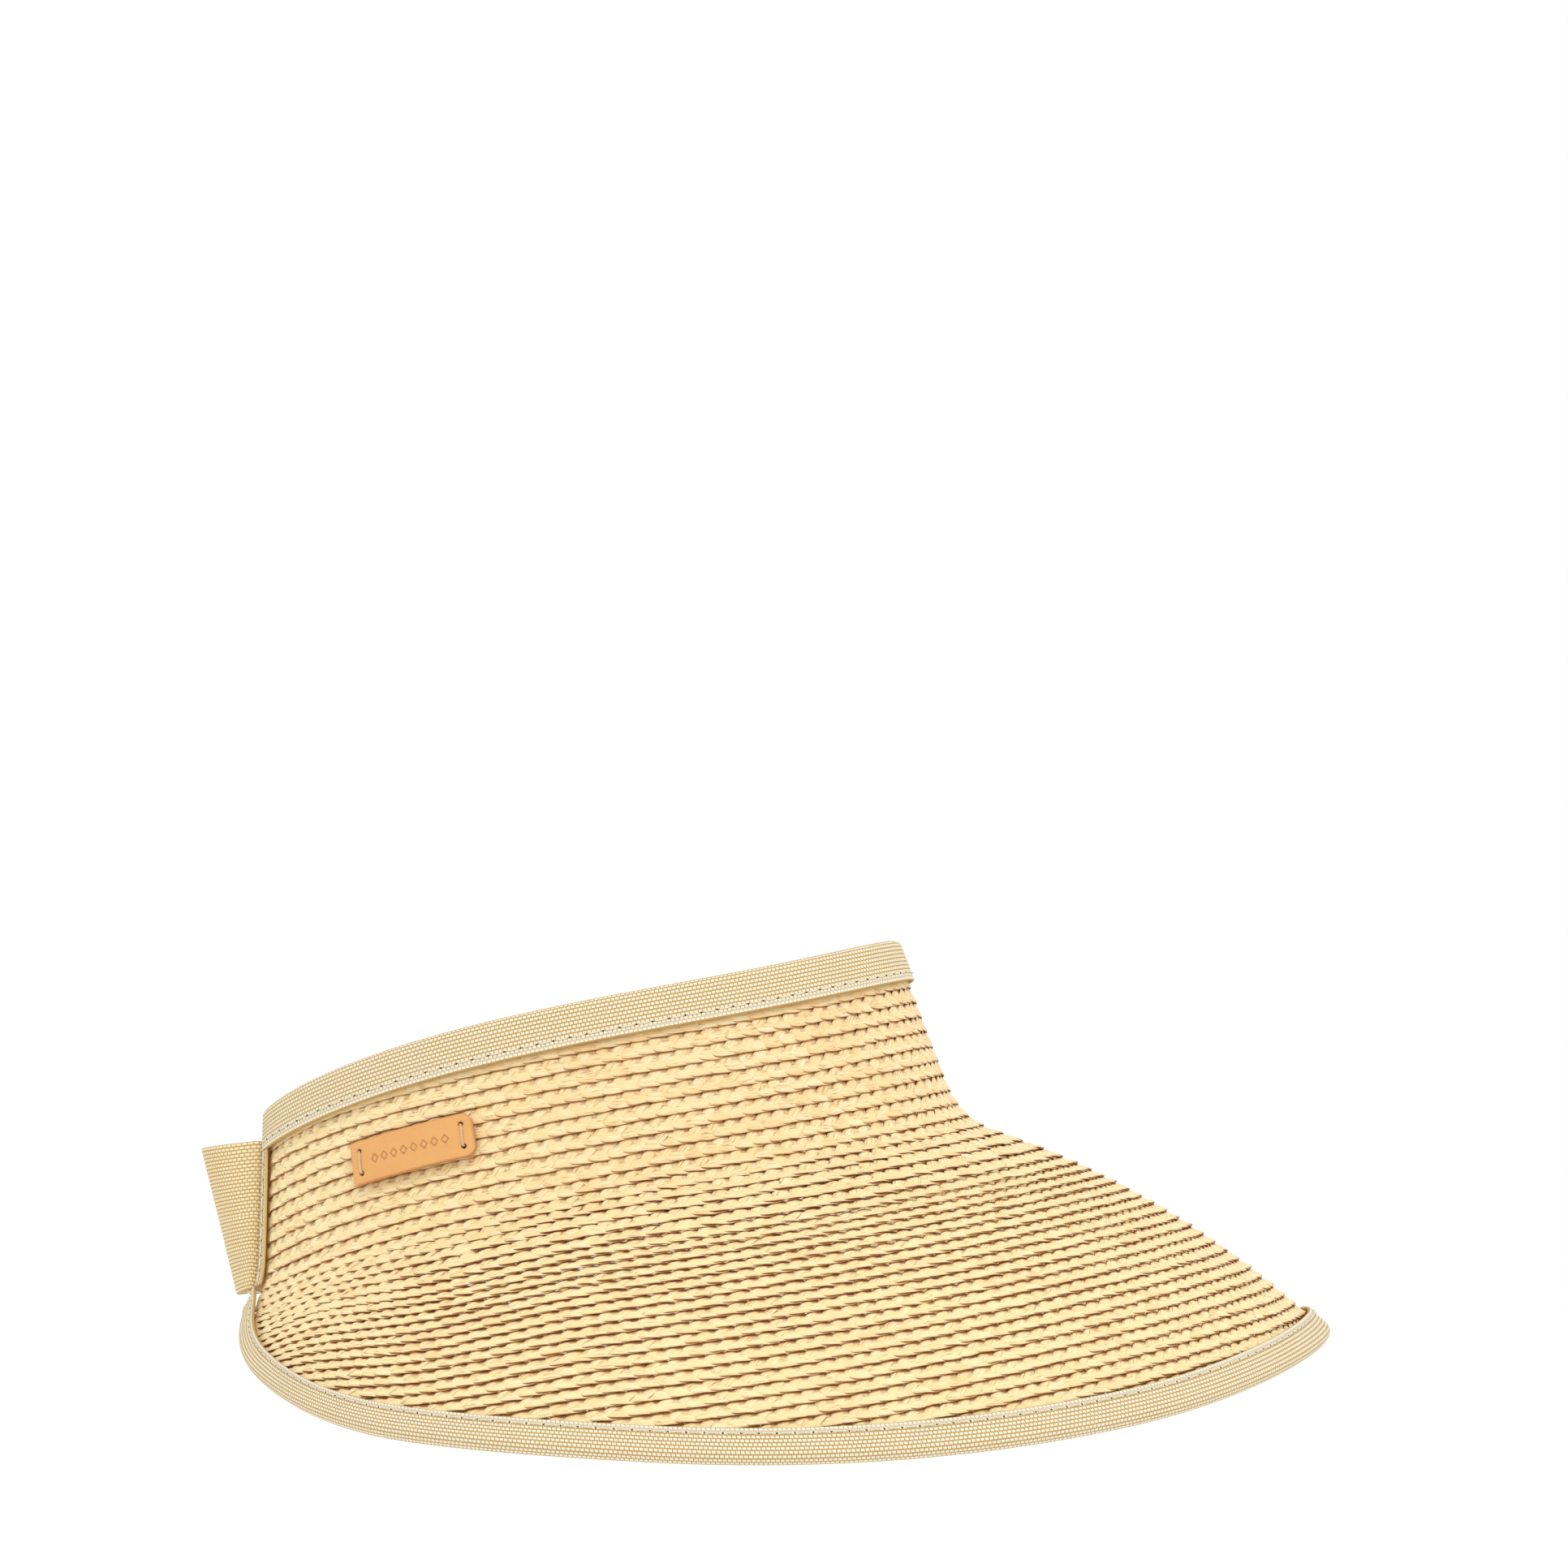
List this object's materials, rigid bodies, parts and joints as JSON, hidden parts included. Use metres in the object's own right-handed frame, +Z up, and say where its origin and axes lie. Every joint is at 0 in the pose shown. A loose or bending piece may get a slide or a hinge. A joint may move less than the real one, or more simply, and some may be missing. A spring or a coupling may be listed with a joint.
{
  "type": "sun visor",
  "caption": "open-crown straw sun visor with a wide curved brim, ribbon-bound edges, a leather side label and a ribbon closure with hook and loop behind the head",
  "frame": {"origin": "centre of the bounding box on the surface that the visor stands on", "axes": "+X to the front of the brim, +Y to the wearer's left, +Z up"},
  "size_m": [0.3142, 0.3094, 0.1415],
  "materials": {
    "straw": "matt braided straw",
    "ribbon": "woven grosgrain ribbon",
    "wire": "drawn wire",
    "sweatband": "soft woven cotton",
    "satin_label": "satin",
    "leather": "smooth vegetable tanned",
    "thread": "waxed thread",
    "hook_tape": "hook tape",
    "loop_tape": "loop pile tape"
  },
  "bodies": {
    "visor": {"crown_band": "straw", "brim": "straw", "top_binding": "ribbon", "brim_binding": "ribbon", "end_binding_right": "ribbon", "end_binding_left": "ribbon", "brim_wire": "wire", "sweatband": "sweatband", "care_label": "satin_label", "leather_label": "leather", "label_stitch_rear": "thread", "label_stitch_front": "thread", "strap_root_right": "ribbon", "strap_root_left": "ribbon"},
    "outer_tab": {"closure_tab_outer": "ribbon", "hook_patch": "hook_tape"},
    "inner_tab": {"closure_tab_inner": "ribbon", "loop_patch": "loop_tape"}
  },
  "joints": [
    {"name": "outer_tab_fold", "type": "hinge", "parent": "visor", "child": "outer_tab", "pos_m": [-0.13965, -0.02012, 0.06465], "axis": [0.0278, 0.2247, 0.974], "range_deg": [0, 95]},
    {"name": "inner_tab_fold", "type": "hinge", "parent": "visor", "child": "inner_tab", "pos_m": [-0.13965, 0.01932, 0.06465], "axis": [0.0278, -0.2247, 0.974], "range_deg": [0, 50]}
  ]
}
